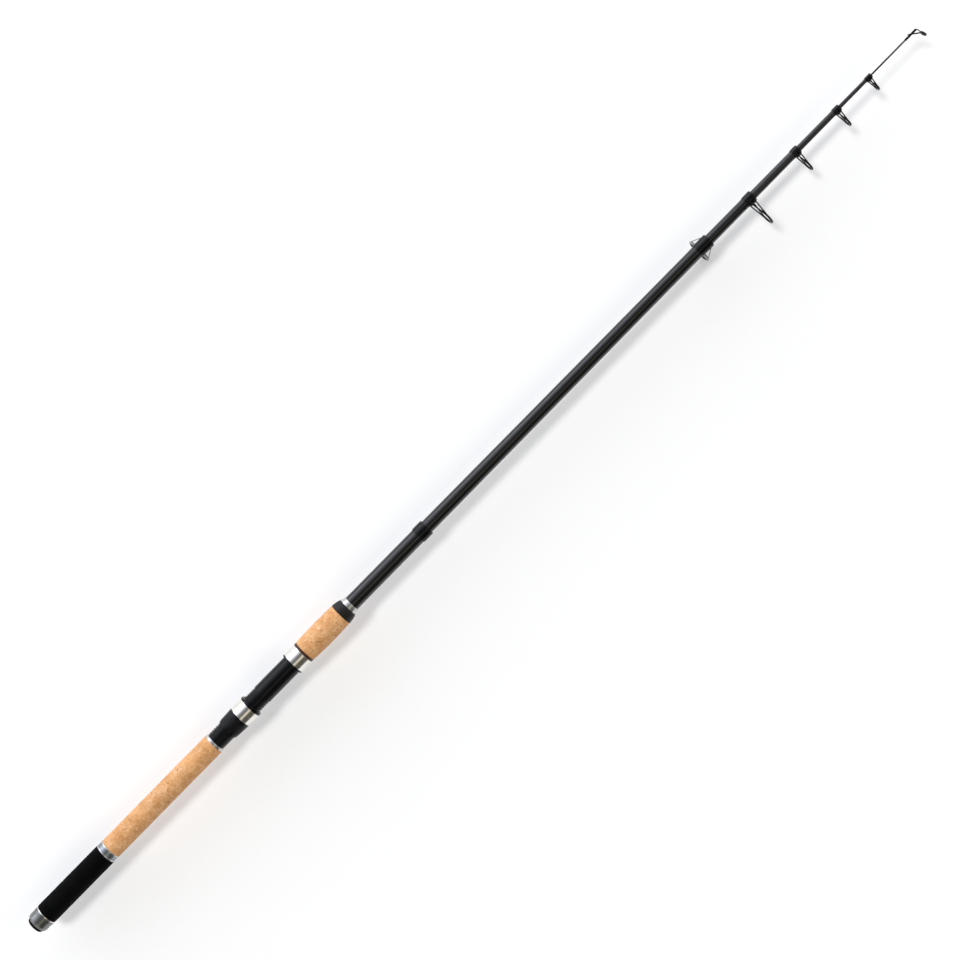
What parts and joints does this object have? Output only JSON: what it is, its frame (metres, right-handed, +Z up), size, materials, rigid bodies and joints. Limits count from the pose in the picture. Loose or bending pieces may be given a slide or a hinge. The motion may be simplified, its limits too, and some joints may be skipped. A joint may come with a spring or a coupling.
{
  "type": "telescopic fishing rod",
  "caption": "Slim telescopic spinning rod with cork and foam grips, a screw-down reel seat, sliding nested sections and ringed line guides that turn on their sections.",
  "frame": {"origin": "centre of the flat end of the butt bumper", "axes": "+X along the rod to the tip, +Z up with the reel side below, guides 2 to 5 towards -Y as stored"},
  "size_m": [1.1355, 0.0421, 0.0508],
  "materials": {
    "gunmetal": "satin anodised",
    "black_rubber": "matte",
    "black_foam": "matte, fine closed cells",
    "bright_metal": "polished",
    "cork": "natural, pitted",
    "dark_wood": "satin",
    "black_plastic": "satin",
    "blank_gloss": "gloss lacquer",
    "blank_matte": "satin, fine spiral",
    "guide_metal": "black, semi gloss",
    "ring_ceramic": "polished"
  },
  "bodies": {
    "handle": {"handle_tube": "blank_gloss", "handle_end_collar": "black_plastic", "butt_insert": "bright_metal", "foam_grip": "black_foam", "grip_trim_ring": "bright_metal", "rear_cork_grip": "cork", "rear_winding_check": "bright_metal", "reel_seat_body": "black_plastic", "seat_bushes": "cork", "fixed_hood_steel": "bright_metal", "fixed_hood_liner": "black_plastic", "fore_trim_ring": "dark_wood", "fore_cork_grip": "cork", "fore_end_collar": "black_plastic", "front_winding_check": "bright_metal"},
    "bumper": {"butt_bumper": "black_rubber"},
    "cap": {"butt_cap": "gunmetal", "cap_cushion": "black_rubber"},
    "hood": {"sliding_hood_steel": "bright_metal", "sliding_hood_liner": "black_plastic"},
    "nut": {"lock_nut": "black_plastic"},
    "section_2": {"section_2_tube": "blank_gloss"},
    "section_3": {"section_3_tube": "blank_gloss"},
    "section_4": {"section_4_tube": "blank_matte"},
    "section_5": {"section_5_tube": "blank_matte"},
    "section_6": {"section_6_tube": "blank_matte"},
    "section_7": {"section_7_tip": "blank_matte"},
    "guide_1": {"guide_1_collar_ring": "black_plastic", "guide_1_frame": "guide_metal", "guide_1_ring": "ring_ceramic"},
    "guide_2": {"guide_2_collar_ring": "black_plastic", "guide_2_frame": "guide_metal", "guide_2_ring": "ring_ceramic"},
    "guide_3": {"guide_3_collar_ring": "black_plastic", "guide_3_frame": "guide_metal", "guide_3_ring": "ring_ceramic"},
    "guide_4": {"guide_4_collar_ring": "black_plastic", "guide_4_frame": "guide_metal", "guide_4_ring": "ring_ceramic"},
    "guide_5": {"guide_5_collar_ring": "black_plastic", "guide_5_frame": "guide_metal", "guide_5_ring": "ring_ceramic"},
    "tip_guide": {"tip_guide_tube": "guide_metal", "tip_guide_frame": "guide_metal", "tip_guide_ring": "ring_ceramic"}
  },
  "joints": [
    {"name": "section_2_slide", "type": "slide", "parent": "handle", "child": "section_2", "axis": [1, 0, 0], "range_m": [-0.3465, 0.004]},
    {"name": "section_3_slide", "type": "slide", "parent": "section_2", "child": "section_3", "axis": [1, 0, 0], "range_m": [-0.046, 0.3098]},
    {"name": "section_4_slide", "type": "slide", "parent": "section_3", "child": "section_4", "axis": [1, 0, 0], "range_m": [-0.0506, 0.3073]},
    {"name": "section_5_slide", "type": "slide", "parent": "section_4", "child": "section_5", "axis": [1, 0, 0], "range_m": [-0.0445, 0.3134]},
    {"name": "section_6_slide", "type": "slide", "parent": "section_5", "child": "section_6", "axis": [1, 0, 0], "range_m": [-0.0329, 0.3253]},
    {"name": "section_7_slide", "type": "slide", "parent": "section_6", "child": "section_7", "axis": [1, 0, 0], "range_m": [-0.0433, 0.3088]},
    {"name": "guide_1_turn", "type": "hinge", "parent": "section_2", "child": "guide_1", "pos_m": [0.857, 0, 0], "axis": [1, 0, 0], "continuous": true},
    {"name": "guide_2_turn", "type": "hinge", "parent": "section_3", "child": "guide_2", "pos_m": [0.91735, 0, 0], "axis": [1, 0, 0], "continuous": true},
    {"name": "guide_3_turn", "type": "hinge", "parent": "section_4", "child": "guide_3", "pos_m": [0.9771, 0, 0], "axis": [1, 0, 0], "continuous": true},
    {"name": "guide_4_turn", "type": "hinge", "parent": "section_5", "child": "guide_4", "pos_m": [1.0297, 0, 0], "axis": [1, 0, 0], "continuous": true},
    {"name": "guide_5_turn", "type": "hinge", "parent": "section_6", "child": "guide_5", "pos_m": [1.07055, 0, 0], "axis": [1, 0, 0], "continuous": true},
    {"name": "tip_guide_turn", "type": "hinge", "parent": "section_7", "child": "tip_guide", "pos_m": [1.118, 0, 0], "axis": [1, 0, 0], "continuous": true},
    {"name": "hood_slide", "type": "slide", "parent": "handle", "child": "hood", "axis": [1, 0, 0], "range_m": [-0.0135, 0.0216]},
    {"name": "nut_turn", "type": "hinge", "parent": "hood", "child": "nut", "pos_m": [0.248, 0, 0], "axis": [1, 0, 0], "range_deg": [-1801, 2881]},
    {"name": "cap_slide", "type": "slide", "parent": "handle", "child": "bumper", "axis": [1, 0, 0], "range_m": [-0.012, 0]},
    {"name": "cap_turn", "type": "hinge", "parent": "bumper", "child": "cap", "pos_m": [0.008, 0, 0], "axis": [1, 0, 0], "range_deg": [-2161, 1]}
  ],
  "couplings": [
    {"joint": "nut_turn", "follows": "hood_slide", "rad_per_m": 2327.1},
    {"joint": "cap_turn", "follows": "cap_slide", "rad_per_m": 3141.6}
  ]
}
